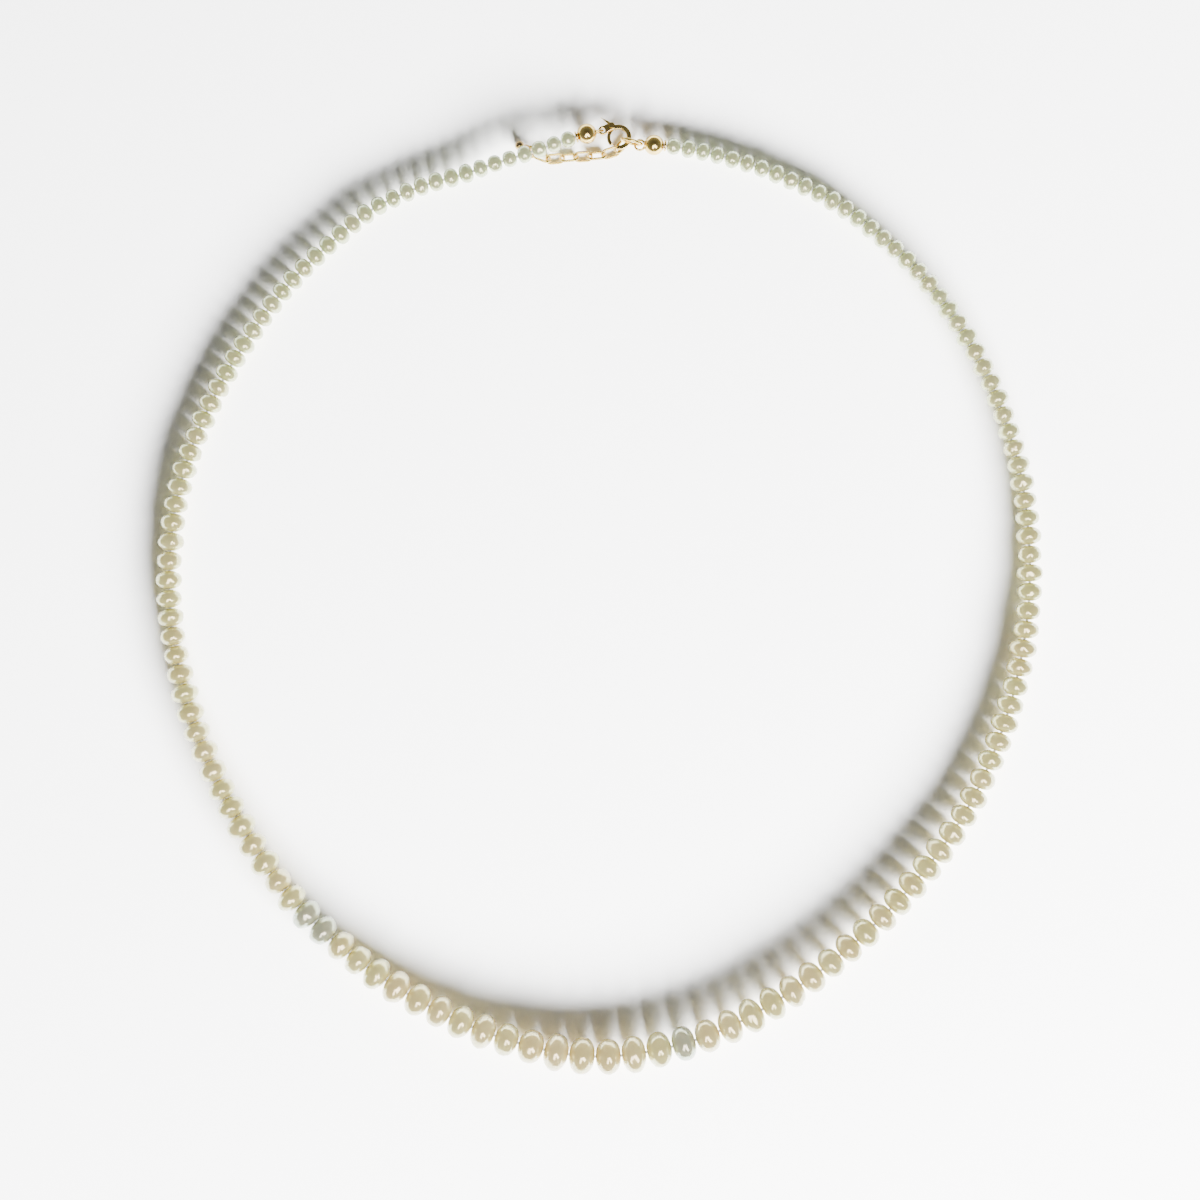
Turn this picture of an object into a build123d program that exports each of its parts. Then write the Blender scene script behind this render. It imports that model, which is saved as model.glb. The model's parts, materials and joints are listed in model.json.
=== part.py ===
"""A graduated pearl necklace with a lobster clasp and a short extender chain.

The necklace lies closed on a table as a loop in the XY plane, +Z up, with the clasp at +Y and the
largest pearls at -Y.  The origin is the middle of the loop at table level.  Millimetres.
"""

from build123d import *
from math import cos, pi, radians, sin, tan
import os
import random

os.makedirs("parts", exist_ok=True)

# --- driving dimensions -------------------------------------------------------------------------

# Pearls: button shaped, drilled through the short way, larger towards the front of the necklace.
CLASP_PEARL_DIAMETER = 2.9
FRONT_PEARL_DIAMETER = 6.0
CLASP_PEARL_PITCH = 2.45
FRONT_PEARL_PITCH = 4.25
DIAMETER_GROWTH = 1.15  # power of the diameter's growth from the clasp to the front
PITCH_GROWTH = 1.6  # the same for the spacing
SIZE_VARIATION = 0.04  # how far one pearl differs from its neighbours
PEARL_GAP = 0.1
DRILL_DIAMETER = 0.8
GROUPS_PER_SIDE = 12

# Thread, bead tips and the crimps inside them.
THREAD_DIAMETER = 0.45
TIP_RADIUS = 1.6
TIP_WALL = 0.28
TIP_SEAM = 0.04
TIP_LOOP_RADIUS = 0.8
TIP_LOOP_WIRE = 0.36
COLLAR_DIAMETER = 1.8
COLLAR_LENGTH = 0.3
CRIMP_DIAMETER = 1.5
CRIMP_LENGTH = 1.3
CRIMP_BORE = 0.55

# Clasp.
CLASP_HEIGHT = 2.1  # the clasp's middle plane above the table
CLAW_CENTRE = (3.0, 73.7)
CLAW_ANGLE = -31  # direction of the claw's nose in the XY plane, degrees
CLAW_OUTER_RADIUS = 2.0
CLAW_INNER_RADIUS = 1.3
CLAW_THICKNESS = 1.0
NOSE_ANGLE = -58  # where the claw's hook ends and the lever meets it
PIVOT = (-1.95, 0.9)  # the lever's pin in the claw's own plane
EYE = (-2.75, -0.4)  # the rear eye in the claw's own plane
EYE_RADIUS = 0.72
EYE_HOLE = 0.38
HUB_RADIUS = 0.6
PIN_RADIUS = 0.2
SLOT_HALF_HEIGHT = 0.28
LEVER_THICKNESS = 0.32
LEVER_TIP_ANGLE = 280  # the lever's thin tip tucks inside the hook's nose
LEVER_NECK_ANGLE = 256  # where that tip begins
LEVER_TIP_RADIUS = 1.5
HORN_TIP = (-4.3, 1.25)
HORN_ROOM = (2.6, 1.38)  # what the horn sweeps of the slot's layer as the lever is pressed
HORN_ROOM_CENTRE = (-3.3, 1.11)

# Catch ring and extender chain.
CATCH_WIRE = 0.5
LINK_LENGTH = 3.25
LINK_WIDTH = 2.1
LINK_WIRE = 0.42
LINK_ROLL = 45  # the links lie rolled half over on the table, alternately left and right
CHAIN_HEIGHT = 0.82
END_RING_RADIUS = 0.9
DROP_RADIUS = 0.78
DROP_EYE_RADIUS = 0.6
DROP_EYE_WIRE = 0.32

# --- route of the strand ------------------------------------------------------------------------

# Points of the thread from the left bead tip, round the front, to the right bead tip.  The heights
# are those of the pearls' middles; near the left end the strand rides over the extender chain.
LEFT_TIP = (-2.1, 74.3, CLASP_HEIGHT)
RIGHT_TIP = (8.6, 72.5, CLASP_HEIGHT)
STRAND_POINTS = [
    LEFT_TIP,
    (-4.9, 73.4, 2.3),
    (-8.4, 72.1, 3.05),
    (-12.3, 70.7, 3.2),
    (-16.5, 69.5, 2.8),
    (-22.0, 67.7, 2.05),
    (-28.4, 66.1, 1.75),
    (-37.0, 62.2, 1.75),
    (-50.3, 50.3, 1.85),
    (-60.6, 35.0, 1.98),
    (-67.6, 18.1, 2.12),
    (-69.1, 0.0, 2.27),
    (-65.8, -17.6, 2.41),
    (-58.7, -33.9, 2.55),
    (-48.5, -48.9, 2.7),
    (-34.8, -60.5, 2.84),
    (-18.3, -69.3, 2.99),
    (0.0, -73.5, 3.15),
    (18.5, -69.5, 2.99),
    (34.5, -59.9, 2.84),
    (47.9, -47.9, 2.7),
    (58.7, -33.9, 2.55),
    (65.5, -17.6, 2.41),
    (68.8, 0.0, 2.27),
    (67.9, 18.2, 2.12),
    (62.3, 36.0, 1.98),
    (52.0, 51.8, 1.85),
    (38.2, 63.4, 1.75),
    (25.8, 69.0, 1.65),
    (16.6, 71.5, 1.6),
    (11.4, 72.4, 1.7),
    RIGHT_TIP,
]

# Where one extender link hangs in the next, from the catch ring to the end ring.
CHAIN_POINTS = [
    (4.28, 73.49),
    (2.78, 71.81),
    (0.63, 71.15),
    (-1.6, 70.9),
    (-3.85, 70.8),
    (-6.05, 70.6),
    (-8.25, 70.4),
    (-10.3, 71.2),
]
END_DIRECTION = (-0.8, 0.6)
DROP_DIRECTION = (-0.94, 0.34)


def arc_radii(points):
    """The largest tangent arc that each inner point of a route leaves room for."""
    radii = []
    for before, here, after in zip(points, points[1:], points[2:]):
        run_in = Vector(here) - Vector(before)
        run_out = Vector(after) - Vector(here)
        half_turn = radians(run_in.get_angle(run_out)) / 2
        radii.append(0.45 * min(run_in.length, run_out.length) / tan(half_turn))
    return radii


STRAND_RADII = arc_radii(STRAND_POINTS)
with BuildLine() as strand_line:
    FilletPolyline(*STRAND_POINTS, radius=STRAND_RADII)
STRAND = strand_line.wires()[0]
print("strand length", round(STRAND.length, 1), "radii", [round(r) for r in STRAND_RADII])


def across(axis_x, direction, centre):
    """The plane at centre whose X is axis_x and whose Y runs along direction."""
    return Plane(origin=centre, x_dir=axis_x, z_dir=axis_x.cross(direction))


def strand_frame(distance):
    """Centre, direction and level side direction of the strand at a distance along it."""
    centre = STRAND.position_at(distance, PositionMode.LENGTH)
    direction = STRAND.tangent_at(distance, PositionMode.LENGTH)
    side = Vector(0, 0, 1).cross(direction).normalized()
    return centre, direction, side


# --- pearls -------------------------------------------------------------------------------------

FIRST_PEARL_START = TIP_RADIUS + COLLAR_LENGTH + 0.05
PEARL_RUN = STRAND.length - 2 * FIRST_PEARL_START


def graduation(run):
    """0 at either end of the run of pearls and 1 at the front."""
    return 1 - abs(2 * run / PEARL_RUN - 1)


def pitch_at(run):
    growth = max(graduation(run), 0) ** PITCH_GROWTH
    return CLASP_PEARL_PITCH + (FRONT_PEARL_PITCH - CLASP_PEARL_PITCH) * growth


def diameter_at(run):
    growth = max(graduation(run), 0) ** DIAMETER_GROWTH
    return CLASP_PEARL_DIAMETER + (FRONT_PEARL_DIAMETER - CLASP_PEARL_DIAMETER) * growth


def string_pearls():
    """Distance along the strand, diameter and thickness of each pearl, clasp end to clasp end."""
    dice = random.Random(11)
    pitches = []
    while sum(pitches) < PEARL_RUN:
        pitches.append(pitch_at(sum(pitches)) * (1 + dice.uniform(-SIZE_VARIATION, SIZE_VARIATION)))
    fit = PEARL_RUN / sum(pitches)
    pearls = []
    run = 0
    for pitch in pitches:
        middle = run + fit * pitch / 2
        diameter = diameter_at(middle) * (1 + dice.uniform(-SIZE_VARIATION, SIZE_VARIATION))
        pearls.append((FIRST_PEARL_START + middle, diameter, fit * pitch - PEARL_GAP))
        run += fit * pitch
    return pearls


PEARLS = string_pearls()
GROUP_COUNT = 2 * GROUPS_PER_SIDE + 1


def group_name(index):
    if index < GROUPS_PER_SIDE:
        return f"pearls_left_{GROUPS_PER_SIDE - index:02d}"
    if index > GROUPS_PER_SIDE:
        return f"pearls_right_{index - GROUPS_PER_SIDE:02d}"
    return "pearls_front"


PEARL_GROUPS = {group_name(index): [] for index in range(GROUP_COUNT)}
for pearl in PEARLS:
    place = int((pearl[0] - FIRST_PEARL_START) / PEARL_RUN * GROUP_COUNT)
    PEARL_GROUPS[group_name(place)].append(pearl)
print(len(PEARLS), "pearls in", len(PEARL_GROUPS), "groups")

for name, pearls in PEARL_GROUPS.items():
    with BuildPart() as pearl_group:
        for distance, diameter, thickness in pearls:
            centre, direction, side = strand_frame(distance)
            with BuildSketch(across(side, direction, centre)):
                Ellipse(diameter / 2, thickness / 2)
                with Locations((DRILL_DIAMETER / 2 - diameter, 0)):
                    Rectangle(2 * diameter, 2 * thickness, mode=Mode.SUBTRACT)
            revolve(axis=Axis(centre, direction))
    pearl_group.part.label = name
    export_step(pearl_group.part, f"parts/{name}.step")

# --- thread -------------------------------------------------------------------------------------

with BuildPart() as thread:
    with BuildSketch(Plane(origin=STRAND @ 0, z_dir=STRAND % 0)):
        Circle(THREAD_DIAMETER / 2)
    sweep(path=STRAND)
thread.part.label = "thread"
export_step(thread.part, "parts/thread.step")
thread_expected = pi * THREAD_DIAMETER**2 / 4 * STRAND.length
print("thread volume", round(thread.part.volume, 2), "section x length", round(thread_expected, 2))


# --- bead tips, crimps and collars --------------------------------------------------------------


def bead_tip(side_name, distance, loop_centre, loop_stands):
    """Cup with its loop, lid, crimp and collar at one end of the strand."""
    centre, direction, side = strand_frame(distance)
    inward = direction if distance == 0 else -direction
    thread_way = Plane(origin=centre, x_dir=side, z_dir=inward)
    shell_gap = Plane.XY.offset(CLASP_HEIGHT)
    loop_direction = (loop_centre - centre).normalized()
    loop_axis = loop_direction.cross(Vector(0, 0, 1)) if loop_stands else Vector(0, 0, 1)
    ring_plane = Plane(origin=loop_centre, x_dir=loop_direction, z_dir=loop_axis)

    with BuildPart() as cup:
        with Locations(centre):
            Sphere(TIP_RADIUS)
        split(bisect_by=shell_gap, keep=Keep.BOTTOM)
        with Locations(ring_plane):
            Torus(TIP_LOOP_RADIUS, TIP_LOOP_WIRE / 2)
        with Locations(centre):
            Sphere(TIP_RADIUS - TIP_WALL, mode=Mode.SUBTRACT)
        with BuildSketch(thread_way):
            Circle(DRILL_DIAMETER / 2)
        extrude(amount=2 * TIP_RADIUS, mode=Mode.SUBTRACT)
    cup.part.label = f"{side_name}_bead_tip"
    export_step(cup.part, f"parts/{side_name}_bead_tip.step")

    with BuildPart() as lid:
        with Locations(centre):
            Sphere(TIP_RADIUS)
            Sphere(TIP_RADIUS - TIP_WALL, mode=Mode.SUBTRACT)
        split(bisect_by=shell_gap.offset(TIP_SEAM), keep=Keep.TOP)
        with BuildSketch(thread_way):
            Circle(DRILL_DIAMETER / 2)
        extrude(amount=2 * TIP_RADIUS, mode=Mode.SUBTRACT)
        with Locations(ring_plane):
            Torus(TIP_LOOP_RADIUS, TIP_LOOP_WIRE / 2 + TIP_SEAM, mode=Mode.SUBTRACT)
    lid.part.label = f"{side_name}_bead_tip_lid"
    export_step(lid.part, f"parts/{side_name}_bead_tip_lid.step")

    with BuildPart() as crimp:
        with BuildSketch(thread_way.offset(0.1 - CRIMP_LENGTH / 2)):
            Circle(CRIMP_DIAMETER / 2)
            Circle(CRIMP_BORE / 2, mode=Mode.SUBTRACT)
        extrude(amount=CRIMP_LENGTH)
        fillet(crimp.edges().filter_by(GeomType.CIRCLE).group_by(SortBy.RADIUS)[-1], 0.3)
    crimp.part.label = f"{side_name}_crimp"
    export_step(crimp.part, f"parts/{side_name}_crimp.step")

    with BuildPart() as collar:
        with BuildSketch(thread_way.offset(TIP_RADIUS + 0.03)):
            Circle(COLLAR_DIAMETER / 2)
            Circle(DRILL_DIAMETER / 2, mode=Mode.SUBTRACT)
        extrude(amount=COLLAR_LENGTH - 0.03)
        fillet(collar.edges().filter_by(GeomType.CIRCLE).group_by(SortBy.RADIUS)[-1], 0.1)
    collar.part.label = f"{side_name}_collar"
    export_step(collar.part, f"parts/{side_name}_collar.step")


CLAW_PLANE = Plane(
    origin=(*CLAW_CENTRE, CLASP_HEIGHT),
    x_dir=(cos(radians(CLAW_ANGLE)), sin(radians(CLAW_ANGLE)), 0),
    z_dir=(0, 0, 1),
)
EYE_POINT = CLAW_PLANE.from_local_coords(Vector(*EYE, 0))
LEFT_LOOP = EYE_POINT - (EYE_POINT - Vector(*LEFT_TIP)).normalized() * TIP_LOOP_RADIUS
RIGHT_LOOP = Vector(*RIGHT_TIP) - Vector(TIP_RADIUS - TIP_WALL / 2 + TIP_LOOP_RADIUS, 0, 0)
bead_tip("left", 0, LEFT_LOOP, loop_stands=True)
bead_tip("right", STRAND.length, RIGHT_LOOP, loop_stands=False)

# --- lobster clasp ------------------------------------------------------------------------------

CLAW_MIDDLE = (CLAW_OUTER_RADIUS + CLAW_INNER_RADIUS) / 2
CLAW_WIDTH = CLAW_OUTER_RADIUS - CLAW_INNER_RADIUS
PIVOT_ANGLE = 180 - 25


def on_circle(radius, angle):
    return (radius * cos(radians(angle)), radius * sin(radians(angle)))


def band(inner, outer, start, end):
    """A curved band of a ring about the claw's middle, between two angles."""
    with BuildLine() as outline:
        low = CenterArc((0, 0), inner, start, end - start)
        high = CenterArc((0, 0), outer, start, end - start)
        Line(low @ 0, high @ 0)
        Line(low @ 1, high @ 1)
    make_face(outline.edges())


def claw_slab(bottom, top):
    """Plane and thickness of a layer of the clasp."""
    return CLAW_PLANE.offset(bottom), top - bottom


with BuildPart() as clasp_body:
    layer, height = claw_slab(-CLAW_THICKNESS / 2, CLAW_THICKNESS / 2)
    with BuildSketch(layer):
        band(CLAW_INNER_RADIUS, CLAW_OUTER_RADIUS, NOSE_ANGLE, PIVOT_ANGLE - 6)
        with Locations(on_circle(CLAW_MIDDLE, NOSE_ANGLE)):
            Circle(CLAW_WIDTH / 2)
    extrude(amount=height)
    with BuildSketch(layer):
        with Locations(EYE, PIVOT):
            Circle(HUB_RADIUS)
        make_hull()
        with Locations(EYE):
            Circle(EYE_RADIUS)
    extrude(amount=height)
    slot, slot_height = claw_slab(-SLOT_HALF_HEIGHT, SLOT_HALF_HEIGHT)
    with BuildSketch(slot):
        with Locations(PIVOT):
            Circle(HUB_RADIUS + 0.3)
        with Locations(HORN_ROOM_CENTRE):
            Rectangle(*HORN_ROOM)
        band(CLAW_INNER_RADIUS - 0.1, CLAW_OUTER_RADIUS + 0.05, PIVOT_ANGLE - 5, 360 + NOSE_ANGLE - 13)
    extrude(amount=slot_height, mode=Mode.SUBTRACT)
    with BuildSketch(layer):
        with Locations(PIVOT):
            Circle(PIN_RADIUS + 0.02)
        with Locations(EYE):
            Circle(EYE_HOLE)
    extrude(amount=height, mode=Mode.SUBTRACT)
clasp_body.part.label = "clasp_body"
export_step(clasp_body.part, "parts/clasp_body.step")

LEVER_BOTTOM = -SLOT_HALF_HEIGHT + 0.05
with BuildPart() as clasp_lever:
    layer, height = claw_slab(LEVER_BOTTOM, LEVER_BOTTOM + LEVER_THICKNESS)
    with BuildSketch(layer):
        band(CLAW_INNER_RADIUS + 0.05, CLAW_OUTER_RADIUS - 0.1, PIVOT_ANGLE, LEVER_NECK_ANGLE)
        band(CLAW_INNER_RADIUS + 0.05, LEVER_TIP_RADIUS, PIVOT_ANGLE, LEVER_TIP_ANGLE)
        with Locations(PIVOT):
            Circle(HUB_RADIUS - 0.06)
        with BuildLine():
            horn_top = (PIVOT[0] - 0.1, PIVOT[1] + 0.52)
            horn_root = (PIVOT[0] - 0.35, PIVOT[1])
            Polyline(horn_top, HORN_TIP, horn_root, close=True)
        make_face()
        with Locations(PIVOT):
            Circle(PIN_RADIUS + 0.04, mode=Mode.SUBTRACT)
    extrude(amount=height)
clasp_lever.part.label = "clasp_lever"
export_step(clasp_lever.part, "parts/clasp_lever.step")

with BuildPart() as clasp_pivot_pin:
    layer, height = claw_slab(-CLAW_THICKNESS / 2, CLAW_THICKNESS / 2)
    with BuildSketch(layer):
        with Locations(PIVOT):
            Circle(PIN_RADIUS)
    extrude(amount=height)
    rivet_head, head_height = claw_slab(CLAW_THICKNESS / 2 + 0.01, CLAW_THICKNESS / 2 + 0.1)
    with BuildSketch(layer.offset(height)):
        with Locations(PIVOT):
            Circle(PIN_RADIUS)
    extrude(amount=0.02)
    with BuildSketch(rivet_head.offset(0.01)):
        with Locations(PIVOT):
            Circle(PIN_RADIUS + 0.12)
    extrude(amount=head_height)
clasp_pivot_pin.part.label = "clasp_pivot_pin"
export_step(clasp_pivot_pin.part, "parts/clasp_pivot_pin.step")

SPRING_WIRE = 0.12
SPRING_HEIGHT = 0.18
with BuildPart() as clasp_spring:
    pivot_point = CLAW_PLANE.from_local_coords(Vector(*PIVOT, SPRING_HEIGHT))
    with Locations(pivot_point):
        Torus(PIN_RADIUS + 0.15, SPRING_WIRE / 2)
    with BuildSketch(Plane(origin=pivot_point + Vector(-0.08, PIN_RADIUS + 0.14, 0), z_dir=(1, 0, 0))):
        Circle(SPRING_WIRE / 2 - 0.01)
    extrude(amount=0.5)
clasp_spring.part.label = "clasp_spring"
export_step(clasp_spring.part, "parts/clasp_spring.step")

# --- catch ring and extender chain --------------------------------------------------------------

CATCH_LEFT = Vector(3.45, 73.42, CLASP_HEIGHT)
CATCH_RIGHT = Vector(6.6, 72.6, CLASP_HEIGHT)
CATCH_RADIUS = (CATCH_RIGHT - CATCH_LEFT).length / 2
catch_direction = (CATCH_RIGHT - CATCH_LEFT).normalized()
with BuildPart() as catch_ring:
    catch_plane = Plane(
        origin=(CATCH_LEFT + CATCH_RIGHT) / 2,
        x_dir=catch_direction,
        z_dir=catch_direction.cross(Vector(0, 0, 1)),
    )
    with Locations(catch_plane):
        Torus(CATCH_RADIUS, CATCH_WIRE / 2)
catch_ring.part.label = "catch_ring"
export_step(catch_ring.part, "parts/catch_ring.step")


def rolled_plane(middle, direction, roll):
    """Plane whose X runs along direction, with its normal rolled over from vertical."""
    level = Vector(0, 0, 1).cross(direction)
    up = Vector(0, 0, 1) * cos(radians(roll)) + level * sin(radians(roll))
    return Plane(origin=middle, x_dir=direction, z_dir=up)


def wire_loop(plane, straight, radius, wire):
    """A closed wire loop of two straight sides and two round ends."""
    with BuildLine(plane) as loop_line:
        top = Line((-straight / 2, radius), (straight / 2, radius))
        right = CenterArc((straight / 2, 0), radius, 90, -180)
        bottom = Line(right @ 1, (-straight / 2, -radius))
        CenterArc((-straight / 2, 0), radius, -90, -180)
    with BuildSketch(Plane(origin=top @ 0, z_dir=top % 0)) as section:
        Circle(wire / 2)
    sweep(section.sketch, path=loop_line.wires()[0])


LINK_END_RADIUS = (LINK_WIDTH - LINK_WIRE) / 2
LINK_STRAIGHT = LINK_LENGTH - LINK_WIDTH
CHAIN_JOINTS = [Vector(x, y, CHAIN_HEIGHT) for x, y in CHAIN_POINTS]
roll = -LINK_ROLL
for number, (start, end) in enumerate(zip(CHAIN_JOINTS, CHAIN_JOINTS[1:]), 1):
    with BuildPart() as extender_link:
        link_plane = rolled_plane((start + end) / 2, (end - start).normalized(), roll)
        wire_loop(link_plane, LINK_STRAIGHT, LINK_END_RADIUS, LINK_WIRE)
    extender_link.part.label = f"extender_link_{number}"
    export_step(extender_link.part, f"parts/extender_link_{number}.step")
    roll = -roll

end_direction = Vector(*END_DIRECTION, 0).normalized()
end_ring_centre = CHAIN_JOINTS[-1] + end_direction * (END_RING_RADIUS - LINK_WIRE / 2)
with BuildPart() as end_ring:
    with Locations(rolled_plane(end_ring_centre, end_direction, roll)):
        Torus(END_RING_RADIUS, LINK_WIRE / 2)
end_ring.part.label = "end_ring"
export_step(end_ring.part, "parts/end_ring.step")

drop_direction = Vector(*DROP_DIRECTION, 0).normalized()
drop_joint = end_ring_centre + end_direction * END_RING_RADIUS
drop_eye_centre = drop_joint + drop_direction * 0.1
drop_length = DROP_EYE_RADIUS + DROP_RADIUS - 0.12
with BuildPart() as end_drop:
    eye_plane = rolled_plane(drop_eye_centre, drop_direction, -roll)
    with BuildSketch(eye_plane):
        Circle(DROP_EYE_RADIUS + DROP_EYE_WIRE / 2)
        Circle(DROP_EYE_RADIUS - DROP_EYE_WIRE / 2, mode=Mode.SUBTRACT)
    extrude(amount=DROP_EYE_WIRE / 2, both=True)
    with BuildSketch(eye_plane):
        with Locations((drop_length, 0)):
            Circle(DROP_RADIUS)
        with Locations((drop_length, -DROP_RADIUS)):
            Rectangle(2 * DROP_RADIUS, 2 * DROP_RADIUS, mode=Mode.SUBTRACT)
    revolve(axis=Axis(drop_eye_centre, drop_direction))
end_drop.part.label = "end_drop"
export_step(end_drop.part, "parts/end_drop.step")
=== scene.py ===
"""Looks of the pearl necklace: nacre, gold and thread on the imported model, seen from above."""

import json
import math
import random

import bmesh
import bpy
import numpy as np
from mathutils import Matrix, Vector, noise

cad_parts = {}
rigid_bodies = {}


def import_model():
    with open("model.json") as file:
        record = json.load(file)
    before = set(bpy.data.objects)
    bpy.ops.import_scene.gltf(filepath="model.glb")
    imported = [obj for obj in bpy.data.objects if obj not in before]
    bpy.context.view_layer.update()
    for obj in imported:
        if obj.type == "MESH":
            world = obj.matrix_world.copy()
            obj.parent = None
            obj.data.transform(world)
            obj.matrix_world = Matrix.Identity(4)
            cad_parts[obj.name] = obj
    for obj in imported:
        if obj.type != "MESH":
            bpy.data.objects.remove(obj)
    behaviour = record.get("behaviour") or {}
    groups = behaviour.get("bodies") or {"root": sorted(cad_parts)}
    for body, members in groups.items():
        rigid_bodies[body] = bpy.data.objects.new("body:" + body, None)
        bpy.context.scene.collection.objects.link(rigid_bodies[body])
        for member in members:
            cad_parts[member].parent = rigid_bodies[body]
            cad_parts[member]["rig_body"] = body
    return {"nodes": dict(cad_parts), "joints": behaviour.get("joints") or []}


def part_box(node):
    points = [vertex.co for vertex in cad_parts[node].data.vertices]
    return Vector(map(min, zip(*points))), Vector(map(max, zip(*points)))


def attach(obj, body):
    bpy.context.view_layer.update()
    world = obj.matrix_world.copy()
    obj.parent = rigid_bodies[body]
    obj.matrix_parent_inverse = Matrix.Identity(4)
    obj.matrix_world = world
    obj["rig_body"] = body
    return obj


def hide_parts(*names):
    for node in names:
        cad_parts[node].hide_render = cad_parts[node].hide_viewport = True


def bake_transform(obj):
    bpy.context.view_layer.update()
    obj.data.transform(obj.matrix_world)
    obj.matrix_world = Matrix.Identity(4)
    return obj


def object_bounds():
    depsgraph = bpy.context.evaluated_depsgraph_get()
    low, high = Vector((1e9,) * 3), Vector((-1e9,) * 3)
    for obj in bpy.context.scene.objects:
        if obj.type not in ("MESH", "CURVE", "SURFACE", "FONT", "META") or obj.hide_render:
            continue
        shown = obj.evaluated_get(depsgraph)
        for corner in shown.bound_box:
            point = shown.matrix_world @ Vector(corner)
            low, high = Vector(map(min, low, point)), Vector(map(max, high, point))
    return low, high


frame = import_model()
size_of_frame = [list(corner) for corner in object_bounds()]

MM = 0.001
LOW, HIGH = [Vector(corner) for corner in size_of_frame]
LENGTH = HIGH.y - LOW.y

# The pearls' outline is a little fuller than an ellipse.
FULLNESS = 2.2
DRILL_RADIUS = 0.28 * MM
CHAIN_ROOM = 0.95  # the pearls over the extender chain are this much slimmer, so that it can swing
SNUG = 0.035 * MM  # the strung pearls are pressed together by this much at each end
ROUND_STEPS = 36
PROFILE_STEPS = 18
THREAD_RADIUS = 0.2 * MM

CLASP_TINT = (0.62, 0.74, 0.40)
SIDE_TINT = (0.76, 0.71, 0.25)
FRONT_TINT = (0.86, 0.74, 0.30)
GREY_TINT = (0.42, 0.46, 0.33)
PINK_SHIFT = (0.05, -0.02, 0.01)
ROSY_CLOUD = (0.76, 0.54, 0.30)
OLIVE_SPECK = (0.46, 0.45, 0.19)
GREY_PEARLS = [Vector((-0.046, -0.052, 0)), Vector((0.013, -0.071, 0))]
GREY_REACH = 2.2 * MM  # pearls this near to those points are grey


# --- node helpers -------------------------------------------------------------------------------


def new_material(name):
    material = bpy.data.materials.new(name)
    material.use_nodes = True
    tree = material.node_tree
    return material, tree, tree.nodes["Principled BSDF"]


def add_noise(tree, scale, detail=3.0, roughness=0.5):
    """A noise texture in the object's own coordinates, in features per metre."""
    place = tree.nodes.new("ShaderNodeTexCoord")
    texture = tree.nodes.new("ShaderNodeTexNoise")
    texture.inputs["Scale"].default_value = scale
    texture.inputs["Detail"].default_value = detail
    texture.inputs["Roughness"].default_value = roughness
    tree.links.new(place.outputs["Object"], texture.inputs["Vector"])
    return texture


def add_bump(tree, height, shader, strength, distance):
    bump = tree.nodes.new("ShaderNodeBump")
    bump.inputs["Strength"].default_value = strength
    bump.inputs["Distance"].default_value = distance
    tree.links.new(height, bump.inputs["Height"])
    tree.links.new(bump.outputs["Normal"], shader.inputs["Normal"])


def add_range(tree, value, low, high):
    """Maps 0 to 1 onto low to high."""
    node = tree.nodes.new("ShaderNodeMapRange")
    node.inputs["To Min"].default_value = low
    node.inputs["To Max"].default_value = high
    tree.links.new(value, node.inputs["Value"])
    return node.outputs["Result"]


def add_mix(tree, factor, first, second):
    """Mixes two colours; each is a socket or a plain colour."""
    node = tree.nodes.new("ShaderNodeMix")
    node.data_type = "RGBA"
    tree.links.new(factor, node.inputs[0])
    for socket, colour in ((node.inputs[6], first), (node.inputs[7], second)):
        if isinstance(colour, tuple):
            socket.default_value = (*colour, 1)
        else:
            tree.links.new(colour, socket)
    return node.outputs[2]


# --- materials ----------------------------------------------------------------------------------


def nacre():
    """Layered pearl: part mirror, part milk, under a very glossy film with faint colours."""
    material, tree, shader = new_material("nacre")
    tint = tree.nodes.new("ShaderNodeAttribute")
    tint.attribute_name = "tint"
    cloud = add_noise(tree, 420, detail=2)
    fine = add_noise(tree, 1500, detail=4)
    rosy_share = add_range(tree, cloud.outputs["Fac"], 0, 0.4)
    rosy = add_mix(tree, rosy_share, tint.outputs["Color"], ROSY_CLOUD)
    skin = add_mix(tree, add_range(tree, fine.outputs["Fac"], 0, 0.2), rosy, OLIVE_SPECK)
    tree.links.new(skin, shader.inputs["Base Color"])
    tree.links.new(add_range(tree, fine.outputs["Fac"], 0.10, 0.24), shader.inputs["Roughness"])
    shader.inputs["Metallic"].default_value = 0.25
    shader.inputs["Specular IOR Level"].default_value = 0.8
    shader.inputs["Subsurface Weight"].default_value = 0.2
    shader.inputs["Subsurface Radius"].default_value = (1.0, 0.8, 0.6)
    shader.inputs["Subsurface Scale"].default_value = 0.5 * MM
    shader.inputs["Coat Weight"].default_value = 1
    shader.inputs["Coat Roughness"].default_value = 0.09
    shader.inputs["Coat IOR"].default_value = 1.8
    shader.inputs["Thin Film Thickness"].default_value = 420
    shader.inputs["Thin Film IOR"].default_value = 1.45
    add_bump(tree, fine.outputs["Fac"], shader, 0.12, 0.05 * MM)
    return material


def gold(name, colour, dark, roughness):
    """Polished gold plate with fine wear: slightly uneven gloss and colour."""
    material, tree, shader = new_material(name)
    wear = add_noise(tree, 900, detail=5, roughness=0.6)
    tree.links.new(add_mix(tree, wear.outputs["Fac"], colour, dark), shader.inputs["Base Color"])
    gloss = add_range(tree, wear.outputs["Fac"], roughness * 0.6, roughness * 1.5)
    tree.links.new(gloss, shader.inputs["Roughness"])
    shader.inputs["Metallic"].default_value = 1
    add_bump(tree, wear.outputs["Fac"], shader, 0.15, 0.04 * MM)
    return material


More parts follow.
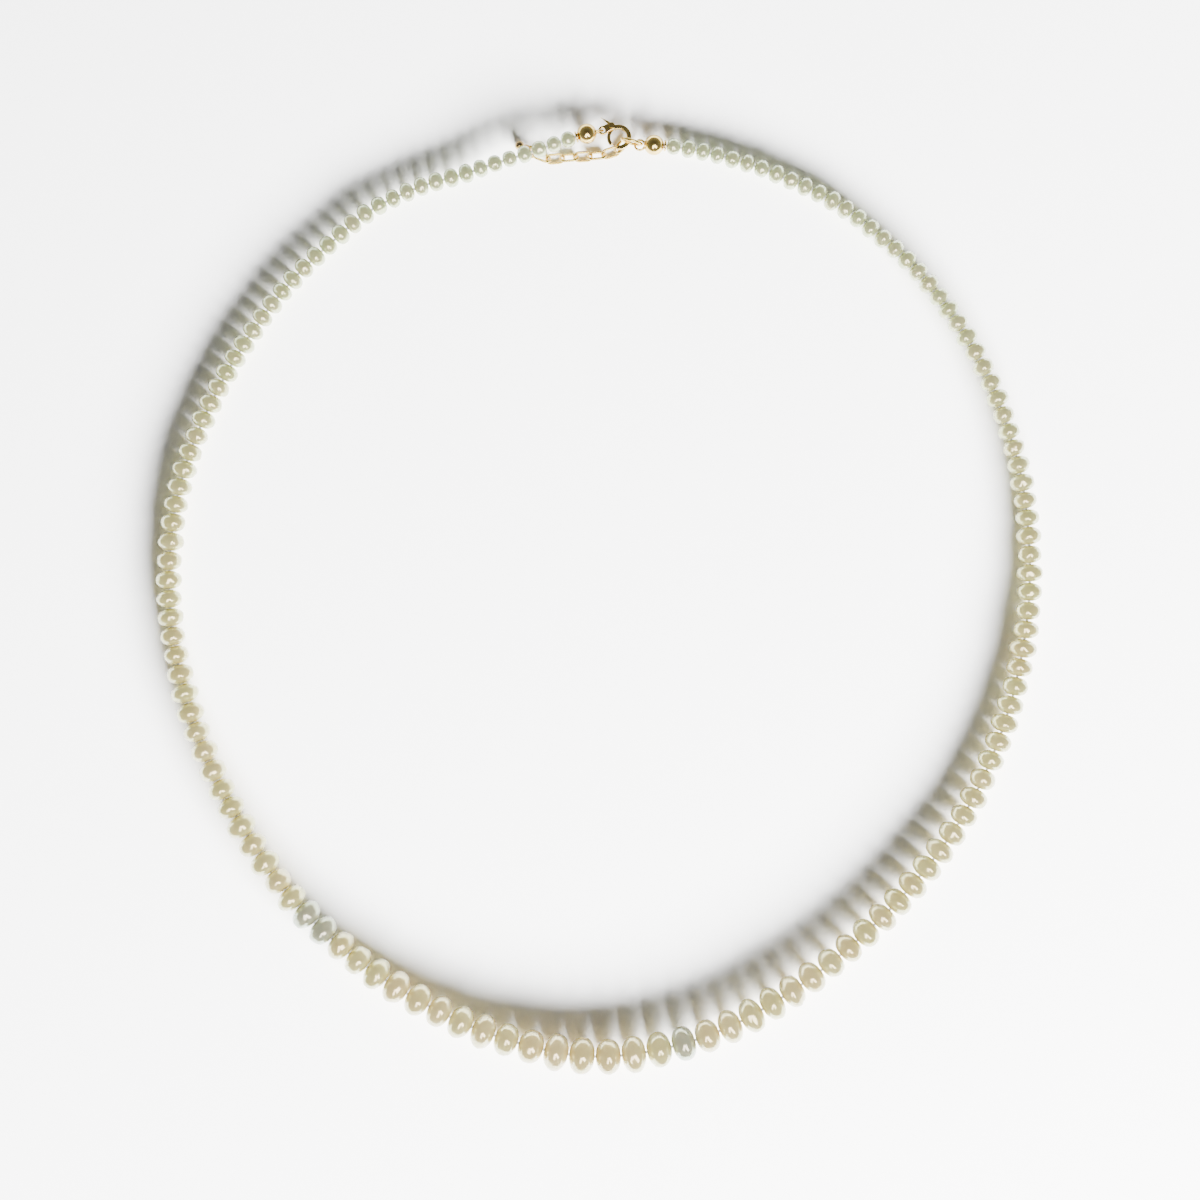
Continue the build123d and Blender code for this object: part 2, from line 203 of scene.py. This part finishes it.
def twisted_thread():
    """Off-white nylon thread with a fine lay."""
    material, tree, shader = new_material("twisted_thread")
    lay = add_noise(tree, 5000, detail=2)
    fibre = add_mix(tree, lay.outputs["Fac"], (0.86, 0.85, 0.78), (0.95, 0.94, 0.90))
    tree.links.new(fibre, shader.inputs["Base Color"])
    shader.inputs["Roughness"].default_value = 0.6
    add_bump(tree, lay.outputs["Fac"], shader, 0.4, 0.05 * MM)
    return material


# --- pearls -------------------------------------------------------------------------------------


def islands(node):
    """Each separate solid of a CAD node, as an array of its points."""
    mesh = bmesh.new()
    mesh.from_mesh(node.data)
    bmesh.ops.remove_doubles(mesh, verts=mesh.verts, dist=0.001 * MM)
    seen = set()
    found = []
    for first in mesh.verts:
        if first in seen:
            continue
        seen.add(first)
        stack = [first]
        points = []
        while stack:
            vertex = stack.pop()
            points.append(tuple(vertex.co))
            for edge in vertex.link_edges:
                other = edge.other_vert(vertex)
                if other not in seen:
                    seen.add(other)
                    stack.append(other)
        found.append(np.array(points))
    mesh.free()
    return found


def measure_pearl(points):
    """Centre, drill direction, radius and half thickness of one drilled pearl."""
    centre = (points.min(axis=0) + points.max(axis=0)) / 2
    spread, directions = np.linalg.eigh(np.cov((points - points.mean(axis=0)).T))
    drill = directions[:, np.argmin(spread)]
    along = (points - centre) @ drill
    centre = centre + drill * (along.min() + along.max()) / 2
    outward = points - centre - np.outer((points - centre) @ drill, drill)
    radius = float(np.linalg.norm(outward, axis=1).max())
    return Vector(centre), Vector(drill), radius, float(np.ptp(along) / 2)


def tint_of(centre, dice):
    """Silvery green by the clasp, warm cream at the front, with rosy and greenish pearls between."""
    front = min(max((HIGH.y - centre.y) / LENGTH, 0), 1)
    if front < 0.5:
        low, high, part = CLASP_TINT, SIDE_TINT, front * 2
    else:
        low, high, part = SIDE_TINT, FRONT_TINT, front * 2 - 1
    colour = [a + (b - a) * part for a, b in zip(low, high)]
    rose = dice.uniform(-0.5, 1) * (0.4 + 0.6 * front)
    shade = dice.uniform(-0.035, 0.03)
    colour = [c + shift * rose + shade for c, shift in zip(colour, PINK_SHIFT)]
    flat = Vector((centre.x, centre.y, 0))
    if any((flat - spot).length < GREY_REACH for spot in GREY_PEARLS):
        colour = list(GREY_TINT)
    return (*colour, 1)


def pearl_surface(radius, half, dice):
    """Points of one slightly baroque pearl about its drill direction: rings of the outer skin from
    one end of the drill hole to the other."""
    seed = Vector((dice.uniform(-50, 50), dice.uniform(-50, 50), dice.uniform(-50, 50)))
    lump = dice.uniform(0.03, 0.09)
    oval = dice.uniform(0, 0.07)
    lean = dice.uniform(-0.12, 0.12)
    turn = dice.uniform(0, math.tau)
    ringed = dice.random() < 0.18
    rings = []
    for step in range(PROFILE_STEPS + 1):
        angle = math.pi * step / PROFILE_STEPS
        wide = max(math.sin(angle), 0) ** (2 / FULLNESS)
        deep = math.copysign(abs(math.cos(angle)) ** (2 / FULLNESS), math.cos(angle))
        ring = []
        for spoke in range(ROUND_STEPS):
            around = math.tau * spoke / ROUND_STEPS
            point = Vector((wide * math.cos(around), wide * math.sin(around), deep))
            swell = lump * noise.noise(point * 1.3 + seed) + 0.35 * lump * noise.noise(point * 3.1 - seed)
            swell -= oval * (0.5 + 0.5 * math.cos(2 * (around - turn))) * wide
            if ringed:
                swell -= 0.03 * math.exp(-((deep - 0.35) / 0.12) ** 2)
            reach = max(radius * wide * min(0.975 + swell, 1), DRILL_RADIUS)
            dimple = 0.10 * math.exp(-((wide * radius / (1.6 * DRILL_RADIUS)) ** 2))
            rise = half * (deep * (1 - dimple) + lean * 0.25 * wide * math.cos(around - turn) * (1 - deep**2))
            ring.append(Vector((reach * math.cos(around), reach * math.sin(around), rise)))
        rings.append(ring)
    return rings


def add_pearl(mesh, layer, centre, drill, radius, half, dice):
    """Adds one drilled pearl to a bmesh, with its tint on every point."""
    colour = tint_of(centre, dice)
    turn = drill.to_track_quat("Z", "Y")
    rings = [
        [mesh.verts.new(centre + turn @ point) for point in ring]
        for ring in pearl_surface(radius, half, dice)
    ]
    for ring in rings:
        for vertex in ring:
            vertex[layer] = colour
    for low, high in zip(rings, rings[1:] + rings[:1]):
        for spoke in range(ROUND_STEPS):
            after = (spoke + 1) % ROUND_STEPS
            face = mesh.faces.new((low[spoke], low[after], high[after], high[spoke]))
            face.smooth = True


def make_pearls(node, material, dice):
    """The pearls that stand for one CAD group; returns their centres in order of the mesh."""
    mesh = bmesh.new()
    layer = mesh.verts.layers.float_color.new("tint")
    pearls = [measure_pearl(points) for points in islands(node)]
    girth = CHAIN_ROOM if node.name == "pearls_left_12" else 1
    for centre, drill, radius, half in pearls:
        add_pearl(mesh, layer, centre, drill, radius * girth, half + SNUG, dice)
    bmesh.ops.recalc_face_normals(mesh, faces=mesh.faces)
    data = bpy.data.meshes.new(f"{node.name}_nacre")
    mesh.to_mesh(data)
    mesh.free()
    data.materials.append(material)
    group = bpy.data.objects.new(f"{node.name}_nacre", data)
    bpy.context.scene.collection.objects.link(group)
    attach(group, node["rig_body"])
    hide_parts(node.name)
    return [centre for centre, drill, radius, half in pearls]


def round_off(node, passes):
    """Softens the sawn edges of a cast part."""
    remesh = node.modifiers.new("even", "REMESH")
    remesh.mode = "VOXEL"
    remesh.voxel_size = 0.05 * MM
    remesh.use_smooth_shade = True
    smooth = node.modifiers.new("soft", "SMOOTH")
    smooth.factor = 0.5
    smooth.iterations = passes


# --- thread -------------------------------------------------------------------------------------


def make_thread(name, points, material):
    """A tube of thread through the given points, as a mesh fine enough to bend."""
    curve = bpy.data.curves.new(name, "CURVE")
    curve.dimensions = "3D"
    curve.bevel_depth = THREAD_RADIUS
    curve.bevel_resolution = 2
    curve.resolution_u = 6
    spline = curve.splines.new("BEZIER")
    spline.bezier_points.add(len(points) - 1)
    for knot, point in zip(spline.bezier_points, points):
        knot.co = point
        knot.handle_left_type = knot.handle_right_type = "AUTO"
    holder = bpy.data.objects.new(name, curve)
    data = bpy.data.meshes.new_from_object(holder)
    bpy.data.objects.remove(holder)
    data.materials.append(material)
    tube = bpy.data.objects.new(name, data)
    bpy.context.scene.collection.objects.link(tube)
    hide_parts("thread")
    return tube


def in_order(points, start):
    """The points one after another, each the nearest to the one before."""
    rest = list(points)
    ordered = []
    while rest:
        start = min(rest, key=lambda point: (point - start).length)
        rest.remove(start)
        ordered.append(start)
    return ordered


def middle_of(node_name):
    low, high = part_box(node_name)
    return (Vector(low) + Vector(high)) / 2


def string_side(side, pearls_by_body, joints, material):
    """Thread of one half: one run in each group of pearls and one bending piece at each joint."""
    reached = pearls_by_body["front"][-1 if side == "right" else 0]
    for joint in joints:
        parent, child = joint["parent"], joint["child"]
        hinge = Vector(joint["pos_m"])
        if child in pearls_by_body:
            run = in_order(pearls_by_body[child], hinge)
            inner = make_thread(f"thread_{child}", run, material)
            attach(inner, child)
            first = run[0]
            last = run[-1]
        else:
            first = middle_of(f"{side}_crimp")
            last = first
        bend = make_thread(f"thread_{joint['name']}", [reached, hinge, first], material)
        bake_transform(bend)
        reached = last


# --- stage, light and camera --------------------------------------------------------------------

FLOOR_SIZE = 1.6
CAMERA_HEIGHT = 0.427
BOARD_POWER = 260  # of the wide soft light that whitens the board alone
BOARD_LIGHT_PLACE = (0.50, -0.85, 0.42)
BOARD_LIGHT_SIZE = (0.9, 0.4)
PANES = {"left": ((-0.07, -0.25, 0.52), 2.7), "right": ((0.19, -0.21, 0.52), 3.4)}
PANE_SIZE = (0.18, 0.42)


def make_floor():
    material, tree, shader = new_material("white_board")
    grain = add_noise(tree, 300, detail=2)
    white = add_mix(tree, grain.outputs["Fac"], (0.93, 0.93, 0.93), (0.95, 0.95, 0.95))
    tree.links.new(white, shader.inputs["Base Color"])
    shader.inputs["Roughness"].default_value = 0.7
    bpy.ops.mesh.primitive_plane_add(size=FLOOR_SIZE, location=(0, 0, LOW.z - 0.02 * MM))
    floor = bpy.context.object
    floor.name = "floor"
    floor.data.materials.append(material)
    return floor


def make_world():
    """A pale room, darker straight overhead."""
    world = bpy.data.worlds.new("room")
    bpy.context.scene.world = world
    world.use_nodes = True
    tree = world.node_tree
    background = tree.nodes["Background"]
    place = tree.nodes.new("ShaderNodeTexCoord")
    split = tree.nodes.new("ShaderNodeSeparateXYZ")
    ramp = tree.nodes.new("ShaderNodeValToRGB")
    ramp.color_ramp.elements[0].position = 0.35
    ramp.color_ramp.elements[0].color = (0.95, 0.96, 0.97, 1)
    ramp.color_ramp.elements[1].position = 0.95
    ramp.color_ramp.elements[1].color = (0.30, 0.30, 0.27, 1)
    tree.links.new(place.outputs["Generated"], split.inputs[0])
    tree.links.new(split.outputs["Z"], ramp.inputs["Fac"])
    tree.links.new(ramp.outputs["Color"], background.inputs["Color"])
    background.inputs["Strength"].default_value = 0.3


def make_light(name, place, power, size, size_y, board, on_board):
    """A soft pane that lights either the board alone or all but the board; all cast its shadows."""
    data = bpy.data.lights.new(name, "AREA")
    data.shape = "RECTANGLE"
    data.energy = power
    data.size = size
    data.size_y = size_y
    light = bpy.data.objects.new(name, data)
    light.location = place
    light.rotation_euler = (Vector((0, 0, 0)) - Vector(place)).to_track_quat("-Z", "Y").to_euler()
    bpy.context.scene.collection.objects.link(light)
    receivers = bpy.data.collections.new(f"{name}_receivers")
    receivers.objects.link(board)
    if not on_board:
        receivers.collection_objects[0].light_linking.link_state = "EXCLUDE"
    light.light_linking.receiver_collection = receivers


def make_camera():
    data = bpy.data.cameras.new("camera")
    data.lens = 80
    data.sensor_width = 36
    data.dof.use_dof = False
    camera = bpy.data.objects.new("camera", data)
    camera.location = (0, 0, CAMERA_HEIGHT)
    bpy.context.scene.collection.objects.link(camera)
    bpy.context.scene.camera = camera


make_camera()
board = make_floor()
make_world()
for side, (place, power) in PANES.items():
    make_light(f"{side}_pane", place, power, *PANE_SIZE, board, on_board=False)
make_light("board_light", BOARD_LIGHT_PLACE, BOARD_POWER, *BOARD_LIGHT_SIZE, board, on_board=True)

# --- the necklace -------------------------------------------------------------------------------

pearl_material = nacre()
thread_material = twisted_thread()
bright_gold = gold("bright_gold", (0.86, 0.66, 0.24), (0.70, 0.49, 0.13), 0.18)
dark_gold = gold("dark_gold", (0.62, 0.45, 0.22), (0.48, 0.33, 0.15), 0.22)

round_off(frame["nodes"]["clasp_body"], 20)
round_off(frame["nodes"]["clasp_lever"], 6)

dice = random.Random(5)
pearls_by_body = {}
for name in sorted(frame["nodes"]):
    node = frame["nodes"][name]
    if name.startswith("pearls_"):
        pearls_by_body[node["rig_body"]] = make_pearls(node, pearl_material, dice)
    elif name != "thread":
        node.data.materials.clear()
        node.data.materials.append(dark_gold if name == "end_drop" else bright_gold)

front = sorted(pearls_by_body["front"], key=lambda centre: centre.x)
pearls_by_body["front"] = front
front_thread = make_thread("thread_front", front, thread_material)
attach(front_thread, "front")
for side in ("left", "right"):
    bends = [j for j in frame["joints"] if j["name"].startswith(f"{side}_") and "bend" in j["name"]]
    string_side(side, pearls_by_body, bends, thread_material)
